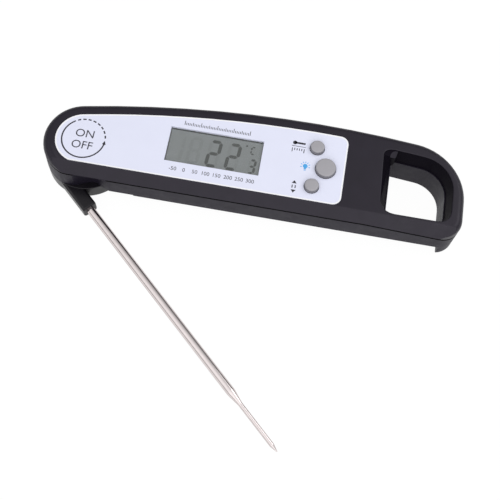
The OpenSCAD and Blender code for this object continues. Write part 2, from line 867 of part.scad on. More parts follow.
module battery_groove() {
  difference() {
    translate([0, 0, cover_z1 - battery_seal_d])
      cylinder(r = battery_seal_r + battery_seal_d / 2 + seat, h = battery_seal_d + past);
    translate([0, 0, cover_z1 - battery_seal_d - past])
      cylinder(r = battery_seal_r - battery_seal_d / 2 - seat, h = battery_seal_d + 3 * past);
  }
}
module battery_seal() {
  color("#3a3a3a")
    translate([cell_at[0], cell_at[1], cover_z1 - battery_seal_d / 2])
      rotate_extrude() translate([battery_seal_r, 0]) circle(d = battery_seal_d, $fn = 24);
}

// Probe
point_r = 0.15;
plug_l = 1;
bead_l = 3;
bead_x0 = tip_x - point_l - plug_l - bead_l;
bead_gap = 0.05;
module probe_tube() {
  r0 = tube_d / 2;
  r1 = tip_d / 2;
  x0 = arm_l - tube_grip;
  x1 = arm_l + tube_l;
  x2 = x1 + neck_l;
  bore0 = r0 - tube_wall;
  bore1 = r1 - tube_wall;
  color("#c9c3c4")
    on_hub()
      translate([0, -arm_off, probe_z])
        rotate([0, 90, 0])
          rotate_extrude()
            polygon([
              [bore0, x0],
              [r0, x0],
              [r0, x1],
              [r1, x2],
              [r1, tip_x - point_l],
              [point_r, tip_x],
              [0, tip_x],
              [0, tip_x - point_l - plug_l],
              [bore1, tip_x - point_l - plug_l],
              [bore1, x2],
              [bore0, x1]
            ]);
}
module thermistor() {
  bead_d = tip_d - 2 * (tube_wall + bead_gap);
  color("#6b3a2a")
    on_hub()
      translate([bead_x0, -arm_off, probe_z])
        rotate([0, 90, 0]) cylinder(d = bead_d, h = bead_l);
}
foot_turn = 1.2;
lead_turn_r = retainer_r + retainer_t;
lead_side = lead_d / 2 + lead_room;
module probe_lead() {
  color("#b03a2e")
    on_hub()
      wire([
        [bead_x0, -arm_off, probe_z],
        [foot_turn, -arm_off, probe_z],
        [0, -arm_off + foot_turn, probe_z],
        [0, -lead_turn_r, lead_z],
        [0, 0, lead_z]
      ], lead_d, [0, 0, 1]);
}

// Hub, turning under the case's pivot end
module arm_section() {
  w = arm_w / 2 - arm_round;
  h = arm_h / 2 - arm_round;
  polygon(concat(
    arc([w, h], arm_round, 0, 90, edge_steps),
    arc([-w, h], arm_round, 90, 180, edge_steps),
    arc([-w, -h], arm_round, 180, 270, edge_steps),
    arc([w, -h], arm_round, 270, 360, edge_steps)
  ));
}
hub_edge = 0.3;
module hub_disc() {
  rotate_extrude($fn = 96)
    polygon(concat(
      [[0, hub_z0]],
      arc([hub_r - hub_edge, hub_z0 + hub_edge], hub_edge, -90, 0, edge_steps),
      arc([hub_r - hub_edge, hub_z1 - hub_edge], hub_edge, 0, 90, edge_steps),
      [[0, hub_z1]]
    ));
}
magnet_turn = 90;
tube_fit = 0.01;
module probe_hub() {
  color("#262529")
    on_hub()
      difference() {
        union() {
          hub_disc();
          translate([0, -arm_off, probe_z])
            rotate([90, 0, 90]) linear_extrude(arm_l) arm_section();
        }
        translate([0, 0, -past]) cylinder(r = boss_r + boss_fit, h = hub_z1 + 2 * past);
        translate([0, 0, -past]) cylinder(r = cap_r + seat, h = cap_z1 + past);
        translate([0, 0, cap_z1 - seat]) cylinder(r = cap_r - cap_step, h = web_z0 - cap_z1 + seat);
        difference() {
          translate([0, 0, hub_z1 - seal_sunk])
            cylinder(r = seal_ring_r + seal_d / 2 + seat, h = seal_d + past);
          cylinder(r = seal_ring_r - seal_d / 2 - seat, h = hub_z1 + 3 * past);
        }
        rotate(magnet_turn)
          translate([fold_magnet_ring, 0, hub_z1 - fold_magnet_t - fold_magnet_sink - seat])
            cylinder(d = fold_magnet_d + 2 * seat, h = fold_magnet_t + past);
        translate([arm_l - tube_grip, -arm_off, probe_z])
          rotate([0, 90, 0]) cylinder(d = tube_d + 2 * tube_fit, h = tube_grip + past);
        translate([0, -arm_off, probe_z])
          rotate([0, 90, 0]) cylinder(d = lead_d + 2 * lead_room, h = arm_l - tube_grip + past);
        box(-lead_side, foot_turn + lead_room, -arm_off - lead_side, -lead_turn_r + lead_side,
          lead_z - lead_side, probe_z + lead_side);
      }
}
module pivot_washer() {
  color("#d9d9d4")
    on_hub()
      translate([0, 0, washer_z0])
        difference() {
          cylinder(r = retainer_r, h = washer_t);
          translate([0, 0, -past]) cylinder(r = boss_r + 2 * boss_fit, h = washer_t + 2 * past);
        }
}
module pivot_seal() {
  color("#3a3a3a")
    on_hub()
      translate([0, 0, hub_z1 - seal_sunk + seal_d / 2])
        rotate_extrude() translate([seal_ring_r, 0]) circle(d = seal_d, $fn = 24);
}
cap_dimple_r = 3;
module pivot_cap() {
  color("#2c2a2f")
    on_hub()
      difference() {
        translate([0, 0, hub_z0]) cylinder(r = cap_r, h = cap_t - seat);
        translate([0, 0, hub_z0 - past]) cylinder(r = cap_dimple_r, h = past + cap_t / 3);
      }
}
module fold_magnet() {
  color("#b8bbc0")
    on_hub()
      rotate(magnet_turn)
        translate([fold_magnet_ring, 0, hub_z1 - fold_magnet_t - fold_magnet_sink])
          cylinder(d = fold_magnet_d, h = fold_magnet_t);
}
retainer_press = 0.02;
retainer_bore_r = 1;
retainer_short = 0.5;
module pivot_retainer() {
  color("#c7c9cc")
    translate([pivot[0], pivot[1], 0])
      difference() {
        union() {
          translate([0, 0, retainer_z0]) cylinder(r = retainer_r, h = retainer_t);
          translate([0, 0, boss_z0])
            cylinder(r = boss_bore_r - retainer_press, h = end_floor_z - boss_z0 - retainer_short);
        }
        translate([0, 0, -past]) cylinder(r = retainer_bore_r, h = end_floor_z + 2 * past);
      }
}
reed_d = 1.8;
reed_l = 10;
reed_inset = 1.8;
module reed_switch() {
  color("#9fc5b8")
    translate([pivot[0] - reed_l / 2, pivot[1] + fold_magnet_ring - reed_inset, end_floor_z + seat])
      translate([0, 0, reed_d / 2])
        rotate([0, 90, 0]) cylinder(d = reed_d, h = reed_l);
}
lead_rise = 2;
lead_reach = 3;
lead_on_board = 4.6;
module board_lead() {
  rise_z = end_floor_z + lead_rise;
  land_z = board_z1 + lead_d / 2 + seat;
  color("#b03a2e")
    wire([
      [pivot[0], pivot[1], lead_z + lead_d + lead_gap],
      [pivot[0], pivot[1], rise_z],
      [board_x0 - lead_reach, pivot[1], land_z],
      [board_x0 + lead_on_board, pivot[1], land_z]
    ], lead_d, [0, 1, 0]);
}

// Fasteners, gasket and back magnet
thread_fit = 0.02;
cross_l = 2.2;
cross_w = 0.5;
cross_depth = 0.6;
module case_screws() {
  color("#8f9296")
    for (p = posts)
      difference() {
        union() {
          disc(p, screw_head_d / 2, head_sink, head_sink + head_t);
          disc(p, screw_d / 2 - thread_fit, head_sink + head_t, head_sink + head_t + screw_l);
        }
        for (a = [0, 90])
          translate([p[0], p[1], head_sink])
            rotate(a) cube([cross_l, cross_w, 2 * cross_depth], center = true);
      }
}
module case_gasket() {
  color("#4a4a4e")
    difference() {
      seal_path(gasket_out, part_z - gasket_t, part_z);
      seal_path(gasket_in, part_z - 2 * gasket_t, part_z + past);
    }
}
module back_magnet() {
  color("#b8bbc0")
    disc([magnet_x, magnet_y], magnet_d / 2, 2 * seat, magnet_t + 2 * seat);
}

front_shell();
rear_shell();
face_panel();
display_window();
display_glass();
connector_strip();
backlight_guide();
backlight_lamp();
circuit_board();
board_chip();
board_parts();
tact_switches();
unit_button();
light_button();
hold_button();
sounder();
coin_cell();
contact_positive();
contact_negative();
battery_cover();
battery_seal();
probe_tube();
probe_hub();
pivot_retainer();
pivot_washer();
pivot_seal();
pivot_cap();
fold_magnet();
reed_switch();
thermistor();
probe_lead();
board_lead();
case_screws();
case_gasket();
back_magnet();
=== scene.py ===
"""Looks of a folding digital meat thermometer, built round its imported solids.

Named sizes are millimetres, unless a comment says otherwise. Blender's own lengths are metres, in the frame
of the solids.
"""

import math

import bmesh
import bpy
from mathutils import Matrix, Vector


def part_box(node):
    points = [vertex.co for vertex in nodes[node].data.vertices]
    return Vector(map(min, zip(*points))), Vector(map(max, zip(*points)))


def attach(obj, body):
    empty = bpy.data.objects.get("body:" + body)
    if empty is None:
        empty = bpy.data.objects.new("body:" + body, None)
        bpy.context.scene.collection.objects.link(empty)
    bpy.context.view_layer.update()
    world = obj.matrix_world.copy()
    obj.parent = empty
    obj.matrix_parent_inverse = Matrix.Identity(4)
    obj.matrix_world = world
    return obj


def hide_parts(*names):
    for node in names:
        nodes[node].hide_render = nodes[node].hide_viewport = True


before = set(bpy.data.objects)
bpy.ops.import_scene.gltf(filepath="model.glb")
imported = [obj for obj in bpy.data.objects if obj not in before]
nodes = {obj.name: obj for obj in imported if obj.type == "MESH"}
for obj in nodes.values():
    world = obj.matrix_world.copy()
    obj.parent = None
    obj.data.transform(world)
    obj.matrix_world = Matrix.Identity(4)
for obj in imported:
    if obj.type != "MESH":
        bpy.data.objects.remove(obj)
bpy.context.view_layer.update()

MM = 0.001
NEAR = 0.02
scene = bpy.context.scene
scene.view_settings.view_transform = "Standard"

# Places that the solids share
PIVOT = (-51.6, -4.3)
OPEN_ANGLE = math.radians(42.7)
PROBE_OFF = 12.4
PROBE_Z = 3.4
FACE_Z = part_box("face_panel")[1].z / MM
GLASS_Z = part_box("display_glass")[1].z / MM
HUB_FRAME = Matrix.Translation((PIVOT[0] * MM, PIVOT[1] * MM, 0)) @ Matrix.Rotation(-OPEN_ANGLE, 4, "Z")

# Camera, at the photograph's viewpoint, with its clip distances in metres
SENSOR = 36
LENS = 61.2
CAMERA_CLIP = (0.01, 20)
CAMERA_AT = (27.97, -159.65, 313.52)
CAMERA_RIGHT = (0.98544, 0.16452, 0.04291)
CAMERA_UP = (-0.16846, 0.91070, 0.37719)
CAMERA_BACK = (0.02298, -0.37892, 0.92515)


def make_camera():
    data = bpy.data.cameras.new("camera")
    data.sensor_width = SENSOR
    data.lens = LENS
    data.clip_start = CAMERA_CLIP[0]
    data.clip_end = CAMERA_CLIP[1]
    camera = bpy.data.objects.new("camera", data)
    turn = Matrix((CAMERA_RIGHT, CAMERA_UP, CAMERA_BACK)).transposed().to_4x4()
    turn.translation = Vector(CAMERA_AT) * MM
    camera.matrix_world = turn
    scene.collection.objects.link(camera)
    scene.camera = camera


# Materials
NOISE_SPAN = (0.3, 0.7)
NOISE_ROUGHNESS = 0.55
GRAIN_DETAIL = 2
GLOSS_SHARE = 1 / 3


def add_node(tree, kind, **settings):
    node = tree.nodes.new(kind)
    for key, value in settings.items():
        setattr(node, key, value)
    return node


def noise(tree, place, size_mm, detail=3):
    """Noise whose features are about size_mm across."""
    node = add_node(tree, "ShaderNodeTexNoise")
    node.inputs["Scale"].default_value = 1 / (size_mm * MM)
    node.inputs["Detail"].default_value = detail
    node.inputs["Roughness"].default_value = NOISE_ROUGHNESS
    tree.links.new(place, node.inputs["Vector"])
    return node.outputs[0]


def ranged(tree, value, low, high, span=NOISE_SPAN):
    """A value's span, mapped to the range from low to high."""
    node = add_node(tree, "ShaderNodeMapRange")
    node.inputs["From Min"].default_value = span[0]
    node.inputs["From Max"].default_value = span[1]
    node.inputs["To Min"].default_value = low
    node.inputs["To Max"].default_value = high
    tree.links.new(value, node.inputs["Value"])
    return node.outputs["Result"]


def ramp(tree, value, low, high):
    """Colour that goes from low to high over the noise's span."""
    node = add_node(tree, "ShaderNodeValToRGB")
    for stop, position, colour in zip(node.color_ramp.elements, NOISE_SPAN, (low, high)):
        stop.position = position
        stop.color = (*colour, 1)
    tree.links.new(value, node.inputs["Fac"])
    return node.outputs["Color"]


def bump(tree, shader, height, depth_mm):
    node = add_node(tree, "ShaderNodeBump")
    node.inputs["Strength"].default_value = 1.0
    node.inputs["Distance"].default_value = depth_mm * MM
    tree.links.new(height, node.inputs["Height"])
    tree.links.new(node.outputs["Normal"], shader.inputs["Normal"])


def material(name, colour, vary, rough, mottle, grain, depth, stretch=(1, 1, 1), turn=0.0, sockets=None):
    """Procedural finish: mottled colour, uneven gloss and fine surface grain, all in object space."""
    made = bpy.data.materials.new(name)
    made.use_nodes = True
    tree = made.node_tree
    shader = tree.nodes["Principled BSDF"]
    coords = add_node(tree, "ShaderNodeTexCoord")
    mapping = add_node(tree, "ShaderNodeMapping")
    mapping.inputs["Rotation"].default_value = (0, 0, turn)
    mapping.inputs["Scale"].default_value = stretch
    tree.links.new(coords.outputs["Object"], mapping.inputs["Vector"])
    place = mapping.outputs["Vector"]
    low = [c * (1 - vary) for c in colour]
    high = [min(c * (1 + vary), 1) for c in colour]
    gloss = noise(tree, place, mottle * GLOSS_SHARE)
    tree.links.new(ramp(tree, noise(tree, place, mottle), low, high), shader.inputs["Base Color"])
    tree.links.new(ranged(tree, gloss, *rough), shader.inputs["Roughness"])
    bump(tree, shader, noise(tree, place, grain, GRAIN_DETAIL), depth)
    for key, value in (sockets or {}).items():
        shader.inputs[key].default_value = value
    return made


# Finishes, with the size of the mottle and the size and depth of the grain
METALLIC = "Metallic"
ALPHA = "Alpha"
SPEC = "Specular IOR Level"
TINT = "Specular Tint"
VIOLET = (0.95, 0.91, 1.0, 1)
STEEL_EDGE = (0.55, 0.52, 0.52, 1)
LOOKS = {
    "case_plastic": dict(
        colour=(0.0108, 0.0087, 0.0152), vary=0.12, rough=(0.40, 0.46), mottle=9, grain=0.16,
        depth=0.006, sockets={SPEC: 0.36, TINT: VIOLET}),
    # Painted shade: a near-black copy of the case plastic for the groove of the parting line
    "seam_shade": dict(
        colour=(0.0018, 0.0016, 0.0020), vary=0.12, rough=(0.6, 0.7), mottle=6, grain=0.16, depth=0.004,
        sockets={SPEC: 0.05}),
    # Painted shade: a darker copy of the case plastic for the walls inside the loop's hole
    "hole_shade": dict(
        colour=(0.0055, 0.0042, 0.0082), vary=0.12, rough=(0.5, 0.58), mottle=9, grain=0.16, depth=0.006,
        sockets={SPEC: 0.05, TINT: VIOLET}),
    "rear_plastic": dict(
        colour=(0.0102, 0.0080, 0.0162), vary=0.12, rough=(0.44, 0.52), mottle=9, grain=0.16,
        depth=0.006, sockets={SPEC: 0.2, TINT: VIOLET}),
    "cover_plastic": dict(
        colour=(0.0100, 0.0082, 0.0140), vary=0.12, rough=(0.40, 0.46), mottle=7, grain=0.16,
        depth=0.006, sockets={SPEC: 0.33, TINT: VIOLET}),
    "hub_plastic": dict(
        colour=(0.0066, 0.0056, 0.0084), vary=0.12, rough=(0.30, 0.36), mottle=6, grain=0.2, depth=0.003,
        sockets={SPEC: 0.30}),
    "panel_white": dict(
        colour=(0.775, 0.795, 0.945), vary=0.012, rough=(0.30, 0.36), mottle=12, grain=0.3, depth=0.001,
        sockets={SPEC: 0.4}),
    # Painted highlight: a whiter band along the panel's rim, where the edge catches the light
    "panel_rim_highlight": dict(
        colour=(0.96, 0.955, 0.975), vary=0.01, rough=(0.30, 0.36), mottle=12, grain=0.3, depth=0.001,
        sockets={SPEC: 0.4}),
    "window_clear": dict(
        colour=(0.80, 0.84, 0.80), vary=0.02, rough=(0.05, 0.09), mottle=10, grain=0.6, depth=0.0004,
        sockets={SPEC: 0.5, ALPHA: 0.03}),
    "display_grey": dict(
        colour=(0.186, 0.201, 0.206), vary=0.03, rough=(0.28, 0.34), mottle=9, grain=0.25, depth=0.0006),
    "rubber_pink": dict(
        colour=(0.6, 0.24, 0.32), vary=0.1, rough=(0.6, 0.7), mottle=2, grain=0.2, depth=0.006),
    "guide_white": dict(
        colour=(0.82, 0.84, 0.86), vary=0.02, rough=(0.25, 0.32), mottle=5, grain=0.5, depth=0.002),
    "lamp_yellow": dict(
        colour=(0.85, 0.78, 0.38), vary=0.06, rough=(0.2, 0.3), mottle=1, grain=0.3, depth=0.002),
    "board_green": dict(
        colour=(0.022, 0.13, 0.066), vary=0.16, rough=(0.3, 0.4), mottle=3, grain=0.3, depth=0.006),
    "chip_black": dict(
        colour=(0.011, 0.011, 0.012), vary=0.15, rough=(0.28, 0.4), mottle=2, grain=0.4, depth=0.004),
    "parts_tan": dict(
        colour=(0.4, 0.32, 0.2), vary=0.15, rough=(0.5, 0.6), mottle=0.6, grain=0.1, depth=0.004),
    "switch_metal": dict(
        colour=(0.62, 0.64, 0.66), vary=0.05, rough=(0.28, 0.4), mottle=2, grain=0.12, depth=0.003,
        stretch=(1, 12, 12), sockets={METALLIC: 1.0}),
    "button_grey": dict(
        colour=(0.362, 0.354, 0.38), vary=0.025, rough=(0.46, 0.54), mottle=3, grain=0.14, depth=0.004),
    # Painted shade: a darker copy of the button grey for the buttons' steep sides
    "button_side_shade": dict(
        colour=(0.205, 0.199, 0.218), vary=0.025, rough=(0.5, 0.58), mottle=3, grain=0.14, depth=0.004),
    "sounder_brass": dict(
        colour=(0.68, 0.47, 0.16), vary=0.06, rough=(0.26, 0.36), mottle=3, grain=0.2, depth=0.003,
        sockets={METALLIC: 1.0}),
    "cell_steel": dict(
        colour=(0.62, 0.63, 0.65), vary=0.05, rough=(0.24, 0.34), mottle=4, grain=0.1, depth=0.002,
        stretch=(1, 14, 1), sockets={METALLIC: 1.0}),
    "contact_plate": dict(
        colour=(0.72, 0.62, 0.36), vary=0.05, rough=(0.24, 0.34), mottle=2, grain=0.15, depth=0.002,
        sockets={METALLIC: 1.0}),
    "seal_rubber": dict(
        colour=(0.018, 0.018, 0.018), vary=0.15, rough=(0.6, 0.7), mottle=2, grain=0.2, depth=0.006),
    "probe_steel": dict(
        colour=(0.735, 0.668, 0.664), vary=0.035, rough=(0.09, 0.14), mottle=2.2, grain=0.09,
        depth=0.0008, stretch=(0.06, 1, 1), turn=OPEN_ANGLE, sockets={METALLIC: 1.0, TINT: STEEL_EDGE}),
    "washer_nylon": dict(
        colour=(0.68, 0.68, 0.64), vary=0.05, rough=(0.45, 0.55), mottle=3, grain=0.2, depth=0.003),
    "magnet_nickel": dict(
        colour=(0.62, 0.62, 0.64), vary=0.04, rough=(0.32, 0.35), mottle=4, grain=0.2, depth=0.0006,
        sockets={METALLIC: 1.0}),
    "reed_glass": dict(
        colour=(0.42, 0.66, 0.55), vary=0.05, rough=(0.06, 0.12), mottle=2, grain=0.5, depth=0.001),
    "bead_brown": dict(
        colour=(0.18, 0.07, 0.035), vary=0.12, rough=(0.25, 0.35), mottle=0.8, grain=0.2, depth=0.002),
    "lead_red": dict(
        colour=(0.4, 0.045, 0.036), vary=0.08, rough=(0.4, 0.5), mottle=2, grain=0.2, depth=0.003),
    "screw_steel": dict(
        colour=(0.42, 0.43, 0.45), vary=0.07, rough=(0.28, 0.4), mottle=1, grain=0.12, depth=0.004,
        stretch=(1, 8, 1), sockets={METALLIC: 1.0}),
    "print_dark": dict(
        colour=(0.026, 0.024, 0.034), vary=0.1, rough=(0.45, 0.55), mottle=2, grain=0.2, depth=0.001),
    "print_blue": dict(
        colour=(0.070, 0.385, 0.80), vary=0.06, rough=(0.4, 0.5), mottle=1.5, grain=0.2, depth=0.001),
    "segment_dark": dict(
        colour=(0.054, 0.058, 0.058), vary=0.06, rough=(0.35, 0.42), mottle=2, grain=0.3, depth=0.0006,
        sockets={SPEC: 0.3}),
    "segment_faint": dict(
        colour=(0.168, 0.182, 0.186), vary=0.02, rough=(0.3, 0.36), mottle=4, grain=0.3, depth=0.0006),
    # Painted shadow: a dark band where the opening's walls shade the display
    "display_edge_shadow": dict(
        colour=(0.03, 0.032, 0.034), vary=0.1, rough=(0.5, 0.6), mottle=3, grain=0.2, depth=0.002),
}
FINISHES = {name: material(name, **look) for name, look in LOOKS.items()}

NODE_SLOTS = {
    "front_shell": "case_plastic", "rear_shell": "case_plastic", "face_panel": "panel_white",
    "display_window": "window_clear", "display_glass": "display_grey", "connector_strip": "rubber_pink",
    "backlight_guide": "guide_white", "backlight_lamp": "lamp_yellow", "circuit_board": "board_green",
    "board_chip": "chip_black", "board_parts": "parts_tan", "tact_switches": "switch_metal",
    "unit_button": "button_grey", "light_button": "button_grey", "hold_button": "button_grey",
    "sounder": "sounder_brass", "coin_cell": "cell_steel", "contact_positive": "contact_plate",
    "contact_negative": "contact_plate", "battery_cover": "cover_plastic", "battery_seal": "seal_rubber",
    "probe_tube": "probe_steel", "probe_hub": "hub_plastic", "pivot_retainer": "screw_steel",
    "pivot_washer": "washer_nylon", "pivot_seal": "seal_rubber", "pivot_cap": "cover_plastic",
    "fold_magnet": "magnet_nickel", "reed_switch": "reed_glass", "thermistor": "bead_brown",
    "probe_lead": "lead_red", "board_lead": "lead_red", "case_screws": "screw_steel",
    "case_gasket": "seal_rubber", "back_magnet": "magnet_nickel",
}


def dress_nodes():
    """Every carried-over solid takes the finish of its slot."""
    for name, slot in NODE_SLOTS.items():
        mesh = nodes[name].data
        mesh.materials.clear()
        mesh.materials.append(FINISHES[slot])


# Meshes
SHARP = math.radians(40)
SMOOTH = math.radians(33)
COPLANAR = math.radians(0.4)
LEVEL = 0.9999
STEEP = 0.6
WELD = 0.0015
SPECK = 0.001
LETTER_WELD = 0.0005
CORNER_SHARE = 0.45
DISC_CORNERS = 24


def make_piece(bm, name, finish, body, replaced=(), even=True, more=(), flat_top=False):
    """Turns a bmesh into a named piece that rides on a body.

    Faces with a material index above 0 take one of the further finishes, darker copies that paint shade. A
    flat top is shaded as one plane.
    """
    bmesh.ops.recalc_face_normals(bm, faces=bm.faces)
    for face in bm.faces:
        face.smooth = not (flat_top and face.normal.z > LEVEL)
    mesh = bpy.data.meshes.new(name)
    bm.to_mesh(mesh)
    bm.free()
    mesh.set_sharp_from_angle(angle=SMOOTH)
    mesh.materials.append(FINISHES[finish])
    for further in more:
        mesh.materials.append(FINISHES[further])
    piece = bpy.data.objects.new(name, mesh)
    scene.collection.objects.link(piece)
    if even:
        weigh = piece.modifiers.new("even_normals", "WEIGHTED_NORMAL")
        weigh.keep_sharp = True
    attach(piece, body)
    if replaced:
        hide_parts(*replaced)


def rebuilt(node):
    """A node's surface as a welded bmesh with its flat facets joined."""
    source = nodes[node].data
    bm = bmesh.new()
    corners = [bm.verts.new(v.co) for v in source.vertices]
    for polygon in source.polygons:
        bm.faces.new([corners[i] for i in polygon.vertices])
    bmesh.ops.remove_doubles(bm, verts=bm.verts, dist=WELD * MM)
    bmesh.ops.dissolve_degenerate(bm, edges=bm.edges, dist=SPECK * MM)
    bmesh.ops.dissolve_limit(bm, angle_limit=COPLANAR, verts=bm.verts, edges=bm.edges)
    return bm


def soften(bm, width_mm, pick, segments=2, least=SHARP):
    """Rounds the outer edges that pick chooses, where their faces turn by more than the least angle."""
    edges = []
    for edge in bm.edges:
        if len(edge.link_faces) == 2 and edge.is_convex and edge.calc_face_angle() > least and pick(edge):
            edges.append(edge)
    bmesh.ops.bevel(bm, geom=edges, offset=width_mm * MM, offset_type="OFFSET", segments=segments,
                    profile=0.5, affect="EDGES", clamp_overlap=True, loop_slide=True)


def any_edge(edge):
    return True


def middle(edge):
    return (edge.verts[0].co + edge.verts[1].co) / (2 * MM)


def lathe(profile, steps, closed=False):
    """Surface of revolution about Z through (radius, height) points in millimetres."""
    bm = bmesh.new()
    rings = []
    for radius, height in profile:
        if radius == 0:
            rings.append([bm.verts.new((0, 0, height * MM))])
            continue
        ring = []
        for k in range(steps):
            a = 2 * math.pi * k / steps
            ring.append(bm.verts.new((radius * MM * math.cos(a), radius * MM * math.sin(a), height * MM)))
        rings.append(ring)
    pairs = list(zip(rings, rings[1:]))
    if closed:
        pairs.append((rings[-1], rings[0]))
    for low, high in pairs:
        for k in range(steps):
            n = (k + 1) % steps
            corners = [low[k % len(low)], low[n % len(low)], high[n % len(high)], high[k % len(high)]]
            unique = list(dict.fromkeys(corners))
            if len(unique) > 2:
                bm.faces.new(unique)
    return bm


def round_corner(before, at, after, radius, steps=6):
    """Points that round the corner of a profile at a point, between its neighbours."""
    before, at, after = Vector(before), Vector(at), Vector(after)
    u = (before - at).normalized()
    v = (after - at).normalized()
    half = u.angle(v) / 2
    room = min((before - at).length, (after - at).length) * CORNER_SHARE
    reach = min(radius / math.tan(half), room)
    radius = reach * math.tan(half)
    centre = at + (u + v).normalized() * radius / math.sin(half)
    start = at + u * reach - centre
    end = at + v * reach - centre
    sweep = start.angle_signed(end)
    points = []
    for k in range(steps + 1):
        points.append(tuple(centre + Matrix.Rotation(-sweep * k / steps, 2) @ start))
    return points


def slab(bm, outline, layer):
    """Thin closed plate over a convex outline, in millimetres, between the two heights of a layer."""
    low, high = [[bm.verts.new((x * MM, y * MM, z * MM)) for x, y in outline] for z in layer]
    bm.faces.new(high)
    bm.faces.new(low[::-1])
    for k in range(len(outline)):
        n = (k + 1) % len(outline)
        bm.faces.new([low[k], low[n], high[n], high[k]])


def band(bm, inner, outer, layer, closed=False):
    """Thin closed plate between two rows of points, in millimetres, and between the heights of a layer."""
    count = len(inner)
    grid = []
    for row, z in ((inner, layer[0]), (outer, layer[0]), (outer, layer[1]), (inner, layer[1])):
        grid.append([bm.verts.new((x * MM, y * MM, z * MM)) for x, y in row])
    last = count if closed else count - 1
    for k in range(last):
        n = (k + 1) % count
        for a, b in ((0, 1), (1, 2), (2, 3), (3, 0)):
            bm.faces.new([grid[a][k], grid[b][k], grid[b][n], grid[a][n]])
    if not closed:
        for k in (0, count - 1):
            bm.faces.new([row[k] for row in grid])


def polar(centre, radius, angle):
    a = math.radians(angle)
    return (centre[0] + radius * math.cos(a), centre[1] + radius * math.sin(a))


def arc_points(centre, radius, start, end, steps):
    return [polar(centre, radius, start + (end - start) * k / steps) for k in range(steps + 1)]


def arc_band(bm, centre, radius, width, start, end, steps, layer):
    inner = arc_points(centre, radius - width / 2, start, end, steps)
    outer = arc_points(centre, radius + width / 2, start, end, steps)
    band(bm, inner, outer, layer)


def disc(bm, centre, radius, corners, layer):
    slab(bm, [polar(centre, radius, 360 * k / corners) for k in range(corners)], layer)


def bar(bm, start, end, width, layer):
    """Straight mark from one point to another."""
    a, b = Vector(start), Vector(end)
    side = (b - a).normalized().orthogonal() * width / 2
    slab(bm, [a + side, b + side, b - side, a - side][::-1], layer)


def lettering(bm, words, centre, height, layer):
    """Plain characters of a given height, centred, as a thin closed plate."""
    curve = bpy.data.curves.new("lettering", "FONT")
    curve.body = words
    curve.extrude = 0.5
    curve.resolution_u = 5
    holder = bpy.data.objects.new("lettering", curve)
    scene.collection.objects.link(holder)
    view = bpy.context.evaluated_depsgraph_get()
    mesh = bpy.data.meshes.new_from_object(holder.evaluated_get(view))
    bpy.data.objects.remove(holder)
    bpy.data.curves.remove(curve)
    lows = [min(v.co[i] for v in mesh.vertices) for i in range(3)]
    highs = [max(v.co[i] for v in mesh.vertices) for i in range(3)]
    grow = height / (highs[1] - lows[1])
    move = Matrix.Translation((centre[0] * MM, centre[1] * MM, layer[0] * MM))
    scale = Matrix.Diagonal((grow * MM, grow * MM, (layer[1] - layer[0]) * MM, 1))
    shift = Matrix.Translation((-(lows[0] + highs[0]) / 2, -(lows[1] + highs[1]) / 2, -lows[2]))
    mesh.transform(move @ scale @ shift)
    start = len(bm.verts)
    bm.from_mesh(mesh)
    bpy.data.meshes.remove(mesh)
    bm.verts.ensure_lookup_table()
    bmesh.ops.remove_doubles(bm, verts=bm.verts[start:], dist=LETTER_WELD * MM)


# Case
CASE_TOP = 19.2
SLOPE_TOP_Y = -15.0
SLOPE_SOFT_AT = 54.5
SLOPE_TURN = math.radians(25)
SLOPE_ROUND = 1.2
SLOPE_STEPS = 4
FRONT_ROUND = 0.16
REAR_ROUND = 0.18
END_R = 15.8
END_NEAR = 0.05
HUB_R = 16.1
HUB_ROOF = 7.0
# Material index of the painted shade in the parting line's groove
SEAM_SHADE_INDEX = 1
# Material index of the painted shade on the walls of the loop's hole
HOLE_SHADE_INDEX = 2

# Parting line, which falls towards the loop
SEAM_Z = 15.8
SEAM_REACH = 0.5
SEAM_WIDER = 0.25
SEAM_FALL_AT = 62.0
SEAM_FALL = math.tan(math.radians(3.9))
LOOP_CUTS = (SEAM_FALL_AT, 70.0, 78.0, 86.0)
GROOVE_HALF = 0.31
GROOVE_LEAN = (0.6, 0.8)
LIP_OFF = 0.2

# Hole of the loop
HOLE_AT = Vector((81.3, 0.0))
HOLE_REACH = (66.0, 97.5)
HOLE_HALF_H = 14.2
HOLE_STEP_Z = 12.2
HOLE_STEP_NEAR = 0.1
HOLE_RIM_Z = 18.6
HOLE_TOP_LEAN = 2.0
HOLE_FOOT_LEAN = 1.0
HOLE_NEARER = 0.6
HOLE_LEAN_REACH = (68.5, 73.0)


def cut_across(bm, x):
    """Splits every face at a place along the case."""
    everything = bm.verts[:] + bm.edges[:] + bm.faces[:]
    bmesh.ops.bisect_plane(bm, geom=everything, plane_co=(x * MM, 0, 0), plane_no=(1, 0, 0))


def above_seam(v):
    return v.co.z / MM - SEAM_Z


def on_groove(face):
    leaning = GROOVE_LEAN[0] < abs(face.normal.z) < GROOVE_LEAN[1]
    return leaning and all(abs(above_seam(v)) < GROOVE_HALF for v in face.verts)


def lower_seam(bm):
    """Paints shade into the groove of the parting line, widens the groove and lets it fall towards the
    loop.
    """
    for x in LOOP_CUTS:
        cut_across(bm, x)
    bm.normal_update()
    near = [v for v in bm.verts if abs(above_seam(v)) < SEAM_REACH]
    lips = set()
    for face in bm.faces:
        if on_groove(face):
            # The groove's faces take the painted shade
            face.material_index = SEAM_SHADE_INDEX
            lips.update(face.verts)
    for v in lips:
        if above_seam(v) < -LIP_OFF:
            v.co.z -= SEAM_WIDER * MM
        elif above_seam(v) > LIP_OFF:
            v.co.z += SEAM_WIDER / 2 * MM
    for v in near:
        v.co.z -= max(v.co.x - SEAM_FALL_AT * MM, 0) * SEAM_FALL


def shade_hole(bm):
    """Marks the front shell's walls that face into the loop's hole, for the painted shade."""
    for face in bm.faces:
        at = face.calc_center_median() / MM
        inward = face.normal.xy.dot(HOLE_AT - at.xy)
        if HOLE_REACH[0] < at.x < HOLE_REACH[1] and abs(face.normal.z) < STEEP and inward > 0:
            face.material_index = HOLE_SHADE_INDEX


